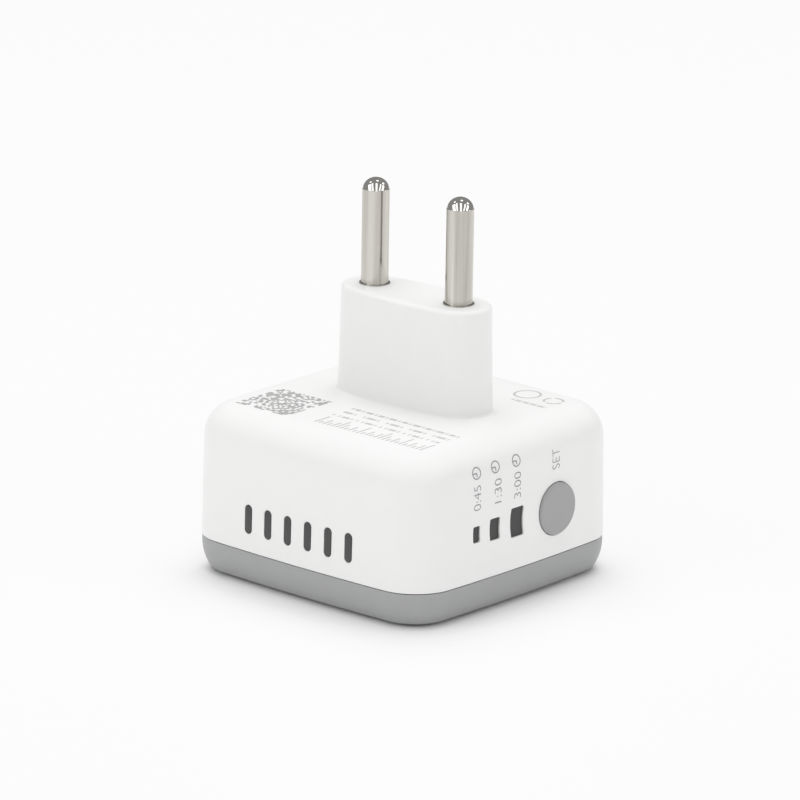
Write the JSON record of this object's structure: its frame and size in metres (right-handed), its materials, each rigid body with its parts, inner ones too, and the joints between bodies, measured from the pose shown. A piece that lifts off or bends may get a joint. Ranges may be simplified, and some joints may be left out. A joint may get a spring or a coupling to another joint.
{
  "type": "plug-in timer switch",
  "caption": "Countdown timer adapter: rounded square case, oval boss with round plug pins, set button, lit windows and a recessed socket.",
  "frame": {"origin": "centre of the case's outline, on the socket face that it lies on", "axes": "+Z along the plug pins, +X towards the button side, +Y towards the side that the plug's centre line is offset to"},
  "size_m": [0.0551, 0.054, 0.067],
  "materials": {
    "housing_white": "satin white",
    "cover_grey": "fine satin grey",
    "button_grey": "fine satin grey",
    "pin_nickel": "nickel plate, brushed shank and polished tip",
    "window_smoke": "smoked clear",
    "screw_steel": "zinc plated",
    "carrier_plastic": "natural",
    "dark_plastic": "black",
    "brass": "plain",
    "coil_copper": "enamelled copper wire",
    "relay_iron": "nickel flash",
    "relay_blue": "moulded",
    "board_green": "solder resist",
    "capacitor_yellow": "potted box",
    "can_aluminium": "plain",
    "varistor_blue": "dipped coating",
    "fuse_brown": "moulded",
    "resistor_grey": "cement coating",
    "light_lens": "clear lens"
  },
  "bodies": {
    "case": {"plug_housing": "housing_white", "socket_cover": "cover_grey", "plug_pin_live": "pin_nickel", "plug_pin_neutral": "pin_nickel", "window_short": "window_smoke", "window_medium": "window_smoke", "window_long": "window_smoke", "case_screws": "screw_steel", "pin_carrier": "carrier_plastic", "pin_carrier_screw": "screw_steel", "contact_carrier": "carrier_plastic", "contact_carrier_screws": "screw_steel", "socket_contact_live": "brass", "socket_contact_neutral": "brass", "live_bus_strip": "brass", "neutral_bus_strip": "brass", "power_board": "board_green", "board_screws": "screw_steel", "x_capacitor": "capacitor_yellow", "smoothing_capacitor": "can_aluminium", "varistor": "varistor_blue", "fuse": "fuse_brown", "dropper_resistor": "resistor_grey", "bridge_rectifier": "dark_plastic", "voltage_regulator": "dark_plastic", "relay_driver": "dark_plastic", "relay_base": "dark_plastic", "relay_cover": "relay_blue", "relay_coil": "coil_copper", "relay_yoke": "relay_iron", "relay_fixed_contact": "brass", "control_board": "board_green", "board_header": "dark_plastic", "microcontroller": "dark_plastic", "crystal": "can_aluminium", "light_baffle": "dark_plastic", "switch_body": "dark_plastic", "indicator_light_short": "light_lens", "indicator_light_medium": "light_lens", "indicator_light_long": "light_lens"},
    "set_button": {"set_button": "button_grey"},
    "switch_plunger": {"switch_plunger": "dark_plastic"},
    "relay_armature": {"relay_armature": "relay_iron", "relay_contact_blade": "brass"}
  },
  "joints": [
    {"name": "set_button_press", "type": "slide", "parent": "case", "child": "set_button", "axis": [-1, 0, 0], "range_m": [0, 0.0003], "stiffness_N_per_m": 2000, "springref_m": -0.0003},
    {"name": "switch_plunger_press", "type": "slide", "parent": "case", "child": "switch_plunger", "axis": [-1, 0, 0], "range_m": [0, 0.0003]},
    {"name": "relay_armature_pivot", "type": "hinge", "parent": "case", "child": "relay_armature", "pos_m": [0.0022, -0.01725, 0.0174], "axis": [0, -1, 0], "range_deg": [0, 4], "stiffness_Nm_per_rad": 0.02, "springref_deg": -2.86}
  ],
  "couplings": [
    {"joint": "switch_plunger_press", "follows": "set_button_press", "ratio": 1}
  ]
}
